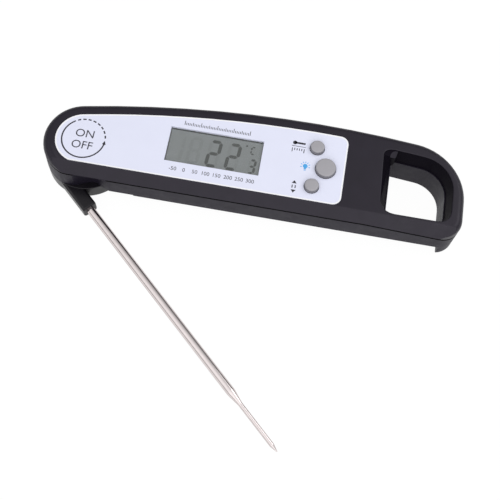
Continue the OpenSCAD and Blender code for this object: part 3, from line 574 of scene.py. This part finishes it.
def lean_hole(bm):
    """Leans the wall of the hole's near side, its front rim back towards the panel and its foot away."""
    low, high = HOLE_LEAN_REACH
    for v in bm.verts:
        at = v.co / MM
        if not HOLE_REACH[0] < at.x < high or abs(at.y) > HOLE_HALF_H:
            continue
        share = min((high - at.x) / (high - low), 1)
        upper = (at.y + HOLE_HALF_H) / (2 * HOLE_HALF_H)
        rim = HOLE_FOOT_LEAN + (HOLE_TOP_LEAN - HOLE_FOOT_LEAN) * upper
        move = -rim if at.z > HOLE_RIM_Z else HOLE_NEARER
        v.co.x += move * share * MM


def off_hole_step(edge):
    return abs(middle(edge).z - HOLE_STEP_Z) > HOLE_STEP_NEAR


def on_slope_top(edge):
    ends = [v.co / MM for v in edge.verts]
    level = all(abs(p.z - CASE_TOP) < NEAR and abs(p.y - SLOPE_TOP_Y) < NEAR for p in ends)
    return level and min(p.x for p in ends) > SLOPE_SOFT_AT - NEAR


def flare_end(bm):
    """Draws the rear shell's round end out to the hub below it."""
    centre = Vector(PIVOT)
    for v in bm.verts:
        out = v.co.xy / MM - centre
        if abs(v.co.z / MM - HUB_ROOF) < NEAR and abs(out.length - END_R) < END_NEAR:
            v.co.xy = (centre + out.normalized() * HUB_R) * MM


def make_shells():
    bm = rebuilt("front_shell")
    cut_across(bm, SLOPE_SOFT_AT)
    lower_seam(bm)
    lean_hole(bm)
    shade_hole(bm)
    soften(bm, SLOPE_ROUND, on_slope_top, SLOPE_STEPS, SLOPE_TURN)
    soften(bm, FRONT_ROUND, off_hole_step)
    make_piece(bm, "front_cover", "case_plastic", "case", ["front_shell"],
               more=["seam_shade", "hole_shade"])
    bm = rebuilt("rear_shell")
    lower_seam(bm)
    lean_hole(bm)
    flare_end(bm)
    soften(bm, REAR_ROUND, off_hole_step)
    make_piece(bm, "rear_cover", "rear_plastic", "case", ["rear_shell"], more=["seam_shade"])


# Buttons, each with its body, its centre and how far it is across
BUTTONS = {
    "unit_button": ("unit_key", (39.7, 8.5), 5.7),
    "light_button": ("light_key", (44.1, 0.0), 8.1),
    "hold_button": ("hold_key", (39.7, -8.5), 5.7),
}
BUTTON_CROWN = 0.1
BUTTON_EDGE = 0.75
BUTTON_EDGE_TURN = 88
BUTTON_EDGE_STEPS = 10
BUTTON_FLANGE = 0.7
BUTTON_FLANGE_T = 1
BUTTON_STEPS = 72
CROWN_RINGS = 4
# Material index of the painted shade on the buttons' sides
SIDE_SHADE_INDEX = 1


def make_buttons():
    for node, (body, centre, across) in BUTTONS.items():
        low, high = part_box(node)
        bottom = low.z / MM
        top = high.z / MM - BUTTON_CROWN
        r = across / 2
        flat_r = r - BUTTON_EDGE
        shoulder = bottom + BUTTON_FLANGE_T
        profile = [(0, bottom), (r + BUTTON_FLANGE, bottom), (r + BUTTON_FLANGE, shoulder), (r, shoulder)]
        bend = (flat_r, top - BUTTON_EDGE)
        profile += arc_points(bend, BUTTON_EDGE, 0, BUTTON_EDGE_TURN, BUTTON_EDGE_STEPS)
        for k in reversed(range(CROWN_RINGS)):
            share = k / CROWN_RINGS
            profile.append((flat_r * share, top + BUTTON_CROWN * (1 - share * share)))
        bm = lathe(profile, BUTTON_STEPS)
        bmesh.ops.translate(bm, verts=bm.verts, vec=(centre[0] * MM, centre[1] * MM, 0))
        bm.normal_update()
        # Steep side faces take the painted shade
        for face in bm.faces:
            if abs(face.normal.z) < STEEP:
                face.material_index = SIDE_SHADE_INDEX
        make_piece(bm, node + "_cap", "button_grey", body, [node], more=["button_side_shade"])


# Panel
DISPLAY_HALF = (18.6, 7.65)
OPENING_ROOM = 0.1
BUTTON_ROOM = 0.5
PANEL_ROUND = 0.12
PRINT_T = 0.012
# Layer of the print, which also carries the panel's painted rim highlight
PRINT_AND_HIGHLIGHT_LAYER = (FACE_Z, FACE_Z + PRINT_T)
# Inner and outer inset of the painted highlight along the panel's rim
RIM_HIGHLIGHT = (0.1, 0.62)


def on_face(edge):
    return all(v.co.z / MM > FACE_Z - NEAR for v in edge.verts)


def on_panel_outline(edge):
    """True for the panel's outer top edge, away from the display opening and the button holes."""
    if not on_face(edge) or edge.calc_face_angle(0) < SHARP:
        return False
    at = middle(edge)
    if abs(at.x) < DISPLAY_HALF[0] + OPENING_ROOM and abs(at.y) < DISPLAY_HALF[1] + OPENING_ROOM:
        return False
    for _, centre, across in BUTTONS.values():
        if (at.xy - Vector(centre)).length < across / 2 + BUTTON_ROOM:
            return False
    return True


def panel_rim(bm):
    """The panel's outline as a ring of points, in order."""
    edges = [edge for edge in bm.edges if on_panel_outline(edge)]
    links = {}
    for edge in edges:
        a, b = edge.verts
        links.setdefault(a, []).append(b)
        links.setdefault(b, []).append(a)
    start = edges[0].verts[0]
    ring = [start]
    here = links[start][0]
    while here is not start:
        ring.append(here)
        one, two = links[here]
        here = two if one is ring[-2] else one
    return [v.co.xy / MM for v in ring]


def inset(ring, width):
    """A closed ring of points moved towards its inside."""
    area = sum(a.cross(b) for a, b in zip(ring, ring[1:] + ring[:1]))
    turn = 1 if area > 0 else -1
    moved = []
    for k, at in enumerate(ring):
        along = (ring[(k + 1) % len(ring)] - ring[k - 1]).normalized()
        moved.append(at + Vector((-along.y, along.x)) * turn * width)
    return moved


def make_panel():
    bm = rebuilt("face_panel")
    ring = panel_rim(bm)
    soften(bm, PANEL_ROUND, on_face)
    make_piece(bm, "panel_plate", "panel_white", "case", ["face_panel"], flat_top=True)
    # A whiter band just inside the rim: a painted highlight on the panel's edge
    bm = bmesh.new()
    outer, inner = [inset(ring, width) for width in RIM_HIGHLIGHT]
    band(bm, inner, outer, PRINT_AND_HIGHLIGHT_LAYER, closed=True)
    make_piece(bm, "panel_highlight_line", "panel_rim_highlight", "case", even=False)


# Probe, with places along the tube measured from the pivot
TUBE_R = 1.7
TIP_R = 0.9
POINT_R = 0.15
BORE_R = 1.3
TIP_BORE_R = 0.5
TUBE_START = 10.3
NECK_START = 112.5
NECK_END = 118.0
BORE_END = 135.9
POINT_START = 136.9
TIP_END = 139.9
NECK_START_ROUND = 9
NECK_END_ROUND = 7
POINT_ROUND = 2.5
TIP_ROUND = 0.12
TIP_STEPS = 4
TUBE_STEPS = 64


def make_probe():
    start = (TUBE_R, TUBE_START)
    neck = (TUBE_R, NECK_START)
    neck_end = (TIP_R, NECK_END)
    point = (TIP_R, POINT_START)
    tip = (POINT_R, TIP_END)
    tip_middle = (0, TIP_END)
    outside = [start]
    outside += round_corner(start, neck, neck_end, NECK_START_ROUND)
    outside += round_corner(neck, neck_end, point, NECK_END_ROUND)
    outside += round_corner(neck_end, point, tip, POINT_ROUND)
    outside += round_corner(point, tip, tip_middle, TIP_ROUND, TIP_STEPS)
    outside.append(tip_middle)
    inside = [(0, BORE_END), (TIP_BORE_R, BORE_END), (TIP_BORE_R, NECK_END), (BORE_R, NECK_START),
              (BORE_R, TUBE_START)]
    bm = lathe(outside + inside, TUBE_STEPS, closed=True)
    along = Matrix.Translation((0, -PROBE_OFF * MM, PROBE_Z * MM)) @ Matrix.Rotation(math.pi / 2, 4, "Y")
    bmesh.ops.transform(bm, matrix=HUB_FRAME @ along, verts=bm.verts)
    make_piece(bm, "probe_shaft", "probe_steel", "probe", ["probe_tube"])


# Hub
ARM_END = 20.3
ARM_ROUND = 0.8
ARM_STEPS = 5
SOCKET_R = 2
HUB_TOP = 6.65
HUB_TOP_REACH = 0.32
HUB_RIM = 0.5
HUB_CLEAR = 0.08
HUB_ROUND = 0.15
HUB_BACK = HUB_FRAME.inverted()


def at_arm_end(edge):
    """True for the outer edges of the arm's end, away from the tube's socket."""
    ends = [HUB_BACK @ v.co / MM for v in edge.verts]
    axis = Vector((-PROBE_OFF, PROBE_Z))
    far = all(abs(p.x - ARM_END) < NEAR for p in ends)
    return far and all((p.yz - axis).length > SOCKET_R for p in ends)


def off_arm_end(edge):
    return not at_arm_end(edge)


def raise_rim(bm):
    """Lifts the hub's rim to just under the roof of its place."""
    for v in bm.verts:
        reach = (v.co.xy / MM - Vector(PIVOT)).length
        if abs(v.co.z / MM - HUB_TOP) < HUB_TOP_REACH and reach > HUB_R - HUB_RIM:
            v.co.z += (HUB_ROOF - HUB_CLEAR - HUB_TOP) * MM


def make_hub():
    bm = rebuilt("probe_hub")
    raise_rim(bm)
    soften(bm, ARM_ROUND, at_arm_end, ARM_STEPS)
    soften(bm, HUB_ROUND, off_arm_end)
    make_piece(bm, "hub_arm", "hub_plastic", "probe", ["probe_hub"])
    bm = rebuilt("pivot_cap")
    soften(bm, HUB_ROUND, any_edge)
    make_piece(bm, "hub_cap", "cover_plastic", "probe", ["pivot_cap"])


# Print: the ring with its arrow, dashes and words
RING_AT = (-51.4, -4.2)
RING_R = 8.5
RING_LINE = 0.58
RING_SWEEP = (124, 352)
RING_STEPS = 72
DASH_STEPS = 6
DASHES = ((118, 109.5), (104, 95), (90, 81.5), (76, 67), (61.5, 52.5), (47, 38.5), (33, 24), (18, 9.5))
ARROW_TIP = 3
ARROW_FOOT = 351
ARROW_HALF = 0.75
WORDS = {"ON": (-51.3, -2.0), "OFF": (-51.3, -7.1)}
WORD_H = 3.4


def print_ring():
    bm = bmesh.new()
    arc_band(bm, RING_AT, RING_R, RING_LINE, *RING_SWEEP, RING_STEPS, PRINT_AND_HIGHLIGHT_LAYER)
    for start, end in DASHES:
        arc_band(bm, RING_AT, RING_R, RING_LINE, start, end, DASH_STEPS, PRINT_AND_HIGHLIGHT_LAYER)
    tip = polar(RING_AT, RING_R, ARROW_TIP)
    outer_wing = polar(RING_AT, RING_R + ARROW_HALF, ARROW_FOOT)
    inner_wing = polar(RING_AT, RING_R - ARROW_HALF, ARROW_FOOT)
    slab(bm, [tip, inner_wing, outer_wing], PRINT_AND_HIGHLIGHT_LAYER)
    for word, centre in WORDS.items():
        lettering(bm, word, centre, WORD_H, PRINT_AND_HIGHLIGHT_LAYER)
    make_piece(bm, "print_ring", "print_dark", "case", even=False)


# Print: the tick scale above the display and the numbers below it
SCALE_START = (-13.6, 9.2)
SCALE_LENGTH = 26.2
SCALE_PARTS = 40
TICK_W = 0.26
TICK_TALL = 1.9
TICK_HALF = 1.5
TICK_LOW = 1.05
NUMBERS = range(-50, 301, 50)
NUMBER_START = (-14.6, -10.65)
NUMBER_STEP = 4.35
NUMBER_H = 1.6


def tick_height(k):
    if k % 10 == 0:
        return TICK_TALL
    return TICK_HALF if k % 5 == 0 else TICK_LOW


def print_scale():
    bm = bmesh.new()
    foot = SCALE_START[1]
    for k in range(SCALE_PARTS + 1):
        x = SCALE_START[0] + SCALE_LENGTH * k / SCALE_PARTS
        bar(bm, (x, foot), (x, foot + tick_height(k)), TICK_W, PRINT_AND_HIGHLIGHT_LAYER)
    for k, value in enumerate(NUMBERS):
        centre = (NUMBER_START[0] + NUMBER_STEP * k, NUMBER_START[1])
        lettering(bm, str(value), centre, NUMBER_H, PRINT_AND_HIGHLIGHT_LAYER)
    make_piece(bm, "print_scale", "print_dark", "case", even=False)


# Print: a probe over a scale beside the unit button, and two arrows beside the hold button
KNOB_AT = (30.7, 9.6)
KNOB_R = 0.85
STEM_END = (34.9, 9.6)
STEM_W = 0.8
RULE_LINE = ((29.6, 8.1), (35.2, 8.1))
RULE_W = 0.22
RULE_START = (30.0, 7.2)
RULE_STEP = 0.94
RULE_MARKS = 6
RULE_MARK_W = 0.32
RULE_LONG_Y = 5.4
RULE_SHORT_Y = 6.2
UP_ARROW = ((31.9, -8.3), (33.9, -8.3), (32.9, -7.0))
DOWN_ARROW = ((31.9, -11.1), (32.9, -12.4), (33.9, -11.1))
ARROW_BARS_X = (32.3, 33.5)
ARROW_BARS_Y = (-9.05, -10.35)
ARROW_BAR_W = 0.42


def print_labels():
    bm = bmesh.new()
    disc(bm, KNOB_AT, KNOB_R, DISC_CORNERS, PRINT_AND_HIGHLIGHT_LAYER)
    bar(bm, KNOB_AT, STEM_END, STEM_W, PRINT_AND_HIGHLIGHT_LAYER)
    bar(bm, *RULE_LINE, RULE_W, PRINT_AND_HIGHLIGHT_LAYER)
    for k in range(RULE_MARKS):
        x = RULE_START[0] + k * RULE_STEP
        end = RULE_LONG_Y if k % 5 == 0 else RULE_SHORT_Y
        bar(bm, (x, RULE_START[1]), (x, end), RULE_MARK_W, PRINT_AND_HIGHLIGHT_LAYER)
    slab(bm, UP_ARROW, PRINT_AND_HIGHLIGHT_LAYER)
    for x in ARROW_BARS_X:
        bar(bm, (x, ARROW_BARS_Y[0]), (x, ARROW_BARS_Y[1]), ARROW_BAR_W, PRINT_AND_HIGHLIGHT_LAYER)
    slab(bm, DOWN_ARROW, PRINT_AND_HIGHLIGHT_LAYER)
    make_piece(bm, "print_labels", "print_dark", "case", even=False)


# Print: a lamp beside the light button, with the lines of its base as height, half length and width
BULB_AT = (36.1, -0.1)
BULB_R = 0.95
BULB_BASE = ((-1.25, 0.5, 0.4), (-1.85, 0.4, 0.36))
RAYS = (-15, 25, 60, 90, 120, 155, 195)
RAY_REACH = (1.35, 2.0)
RAY_W = 0.3


def print_light():
    bm = bmesh.new()
    disc(bm, BULB_AT, BULB_R, DISC_CORNERS, PRINT_AND_HIGHLIGHT_LAYER)
    for y, half, width in BULB_BASE:
        bar(bm, (BULB_AT[0] - half, y), (BULB_AT[0] + half, y), width, PRINT_AND_HIGHLIGHT_LAYER)
    for angle in RAYS:
        inner, outer = [polar(BULB_AT, reach, angle) for reach in RAY_REACH]
        bar(bm, inner, outer, RAY_W, PRINT_AND_HIGHLIGHT_LAYER)
    make_piece(bm, "print_light", "print_blue", "case", even=False)


# Display, with each figure's box as left, right, low and high
SEGMENT_T = 0.01
SEGMENT_LIFT = 0.004
SEGMENT_LAYER = (GLASS_Z + SEGMENT_LIFT, GLASS_Z + SEGMENT_LIFT + SEGMENT_T)
SEGMENT_GAP = 0.12
SLANT = 0.065
FIGURE_LOW = -7.05
FIGURE_HIGH = 5.2
THOUSANDS = (-16.3, -12.0, FIGURE_LOW, FIGURE_HIGH)
HUNDREDS = (-10.45, -5.2, FIGURE_LOW, FIGURE_HIGH)
TENS = (-2.75, 2.5, FIGURE_LOW, FIGURE_HIGH)
ONES = (4.95, 10.2, FIGURE_LOW, FIGURE_HIGH)
TENTHS = (14.2, 17.3, -7.1, -0.4)
UNIT_SIGN = (13.7, 15.8, 1.4, 5.15)
STROKE = 1.4
TENTHS_STROKE = 1.0
SIGN_STROKE = 0.65
DOT_AT = (12.2, 4.95)
DOT_R = 0.42
DOT_CORNERS = 10
LIT = {"2": "abged", "3": "abgcd", "8": "abcdefg", "C": "afed"}
# Widths of the painted shadow band round the display, widest at the top and left, and its lift
SHADOW_LEFT = 0.3
SHADOW_RIGHT = 0.15
SHADOW_LOW = 0.1
SHADOW_HIGH = 0.6
SHADOW_LIFT = 0.02


def segment(bm, start, end, stroke):
    """One display segment with pointed ends, from corner to corner."""
    a, b = Vector(start), Vector(end)
    along = (b - a).normalized()
    a = a + along * SEGMENT_GAP
    b = b - along * SEGMENT_GAP
    side = Vector((-along.y, along.x)) * stroke / 2
    tip = along * stroke / 2
    outline = [a, a + tip - side, b - tip - side, b, b - tip + side, a + tip + side]
    slab(bm, [(p.x + SLANT * p.y, p.y) for p in outline], SEGMENT_LAYER)


def digit(bm, lit, box, stroke=STROKE):
    """Seven-segment figure whose strokes fill the given box."""
    left, right, low, high = box
    x0, x1 = left + stroke / 2, right - stroke / 2
    y0, y1 = low + stroke / 2, high - stroke / 2
    half = (y0 + y1) / 2
    ends = {
        "a": ((x0, y1), (x1, y1)), "b": ((x1, half), (x1, y1)), "c": ((x1, y0), (x1, half)),
        "d": ((x0, y0), (x1, y0)), "e": ((x0, y0), (x0, half)), "f": ((x0, half), (x0, y1)),
        "g": ((x0, half), (x1, half)),
    }
    for name in lit:
        segment(bm, *ends[name], stroke)


def make_display():
    bm = bmesh.new()
    digit(bm, LIT["2"], TENS)
    digit(bm, LIT["2"], ONES)
    digit(bm, LIT["3"], TENTHS, TENTHS_STROKE)
    digit(bm, LIT["C"], UNIT_SIGN, SIGN_STROKE)
    disc(bm, DOT_AT, DOT_R, DOT_CORNERS, SEGMENT_LAYER)
    make_piece(bm, "display_figures", "segment_dark", "case", even=False)

    bm = bmesh.new()
    digit(bm, "fc", TENS)
    digit(bm, "fc", ONES)
    digit(bm, LIT["8"], HUNDREDS)
    digit(bm, "bc", THOUSANDS)
    digit(bm, "fe", TENTHS, TENTHS_STROKE)
    make_piece(bm, "display_ghosts", "segment_faint", "case", even=False)

    # Dark band round the display's edge: a painted shadow of the opening's walls
    bm = bmesh.new()
    x, y = DISPLAY_HALF
    left, right = -x + SHADOW_LEFT, x - SHADOW_RIGHT
    low, high = -y + SHADOW_LOW, y - SHADOW_HIGH
    outside = [(-x, -y), (x, -y), (x, y), (-x, y)]
    inside = [(left, low), (right, low), (right, high), (left, high)]
    band(bm, inside, outside, (SEGMENT_LAYER[0], SEGMENT_LAYER[1] + SHADOW_LIFT), closed=True)
    make_piece(bm, "display_shadow_band", "display_edge_shadow", "case", even=False)


# Back
LID_ROUND = 0.15
LID_ROUND_BELOW = 1.5


def on_lid_face(edge):
    return middle(edge).z < LID_ROUND_BELOW


def make_back():
    bm = rebuilt("battery_cover")
    soften(bm, LID_ROUND, on_lid_face)
    make_piece(bm, "battery_lid", "cover_plastic", "battery_door", ["battery_cover"])


# Stage, with lengths in metres
FLOOR_RADIUS = 6
FLOOR_BELOW = 0.0002
FLOOR_CORNERS = 64
BACKDROP_HEIGHT = 0.6
FLOOR_GREY = 0.8
FLOOR_SHADOW = 0.06
FLOOR_GLOW = 0.96


def floor_material():
    """White to the camera, in reflections and in glass, yet with shadows, and pale grey to other light."""
    made = bpy.data.materials.new("floor_white")
    made.use_nodes = True
    tree = made.node_tree
    tree.nodes.clear()
    out = add_node(tree, "ShaderNodeOutputMaterial")
    path = add_node(tree, "ShaderNodeLightPath")
    seen = add_node(tree, "ShaderNodeMath", operation="ADD", use_clamp=True)
    seen_all = add_node(tree, "ShaderNodeMath", operation="ADD", use_clamp=True)
    plain = add_node(tree, "ShaderNodeBsdfDiffuse")
    plain.inputs["Color"].default_value = (FLOOR_GREY, FLOOR_GREY, FLOOR_GREY, 1)
    shade = add_node(tree, "ShaderNodeBsdfDiffuse")
    shade.inputs["Color"].default_value = (FLOOR_SHADOW, FLOOR_SHADOW, FLOOR_SHADOW, 1)
    glow = add_node(tree, "ShaderNodeEmission")
    glow.inputs["Color"].default_value = (1, 1, 1, 1)
    glow.inputs["Strength"].default_value = FLOOR_GLOW
    both = add_node(tree, "ShaderNodeAddShader")
    mix = add_node(tree, "ShaderNodeMixShader")
    tree.links.new(path.outputs["Is Camera Ray"], seen.inputs[0])
    tree.links.new(path.outputs["Is Glossy Ray"], seen.inputs[1])
    tree.links.new(seen.outputs[0], seen_all.inputs[0])
    tree.links.new(path.outputs["Is Transmission Ray"], seen_all.inputs[1])
    tree.links.new(shade.outputs[0], both.inputs[0])
    tree.links.new(glow.outputs[0], both.inputs[1])
    tree.links.new(seen_all.outputs[0], mix.inputs["Fac"])
    tree.links.new(plain.outputs[0], mix.inputs[1])
    tree.links.new(both.outputs[0], mix.inputs[2])
    tree.links.new(mix.outputs[0], out.inputs["Surface"])
    return made


def make_floor():
    """Round floor whose far rim stands up as a low backdrop."""
    bm = bmesh.new()
    bmesh.ops.create_circle(bm, cap_ends=True, radius=FLOOR_RADIUS, segments=FLOOR_CORNERS)
    raised = bmesh.ops.extrude_edge_only(bm, edges=bm.edges)["geom"]
    rim = [part for part in raised if isinstance(part, bmesh.types.BMVert)]
    bmesh.ops.translate(bm, verts=rim, vec=(0, 0, BACKDROP_HEIGHT))
    bmesh.ops.translate(bm, verts=bm.verts, vec=(0, 0, -FLOOR_BELOW))
    mesh = bpy.data.meshes.new("floor")
    bm.to_mesh(mesh)
    bm.free()
    mesh.materials.append(floor_material())
    floor = bpy.data.objects.new("floor", mesh)
    scene.collection.objects.link(floor)


# Light, in metres and watts: the sky's strength by its turn from the front and by its height
SKY_FRONT = (0, -0.766, 0.643)
SKY_LEVEL = 1.42
SKY_BACK_LEVEL = 0.35
SKY_FRONT_SPAN = (-0.2, 1.0)
HORIZON_LEVEL = 0.12
HORIZON_SPAN = (0.17, 0.44)
LAMP_AIM = (0.016, 0, 0)


def make_lamp(name, size, energy, place):
    data = bpy.data.lights.new(name, "AREA")
    data.shape = "DISK"
    data.size = size
    data.energy = energy
    lamp = bpy.data.objects.new(name, data)
    lamp.location = place
    aim = Vector(LAMP_AIM) - lamp.location
    lamp.rotation_euler = aim.to_track_quat("-Z", "Y").to_euler()
    scene.collection.objects.link(lamp)


def make_light():
    """Soft sky that is brightest above the front and dark at the horizon, with two soft lamps."""
    world = bpy.data.worlds.new("studio")
    scene.world = world
    world.use_nodes = True
    tree = world.node_tree
    sky = tree.nodes["Background"]
    coords = add_node(tree, "ShaderNodeTexCoord")
    split = add_node(tree, "ShaderNodeSeparateXYZ")
    facing = add_node(tree, "ShaderNodeVectorMath", operation="DOT_PRODUCT")
    facing.inputs[1].default_value = SKY_FRONT
    tree.links.new(coords.outputs["Generated"], split.inputs[0])
    tree.links.new(coords.outputs["Generated"], facing.inputs[0])
    front = ranged(tree, facing.outputs["Value"], SKY_BACK_LEVEL, SKY_LEVEL, SKY_FRONT_SPAN)
    above = ranged(tree, split.outputs["Z"], HORIZON_LEVEL, 1.0, HORIZON_SPAN)
    level = add_node(tree, "ShaderNodeMath", operation="MULTIPLY")
    tree.links.new(front, level.inputs[0])
    tree.links.new(above, level.inputs[1])
    tree.links.new(level.outputs[0], sky.inputs["Strength"])
    sky.inputs["Color"].default_value = (1, 1, 1, 1)
    make_lamp("key", size=0.5, energy=1.27, place=(0.52, 0.34, 0.58))
    make_lamp("front", size=0.35, energy=0.5, place=(0.20, -0.74, 0.37))


make_camera()
dress_nodes()
make_shells()
make_panel()
make_buttons()
make_probe()
make_hub()
print_ring()
print_scale()
print_labels()
print_light()
make_display()
make_back()
make_floor()
make_light()
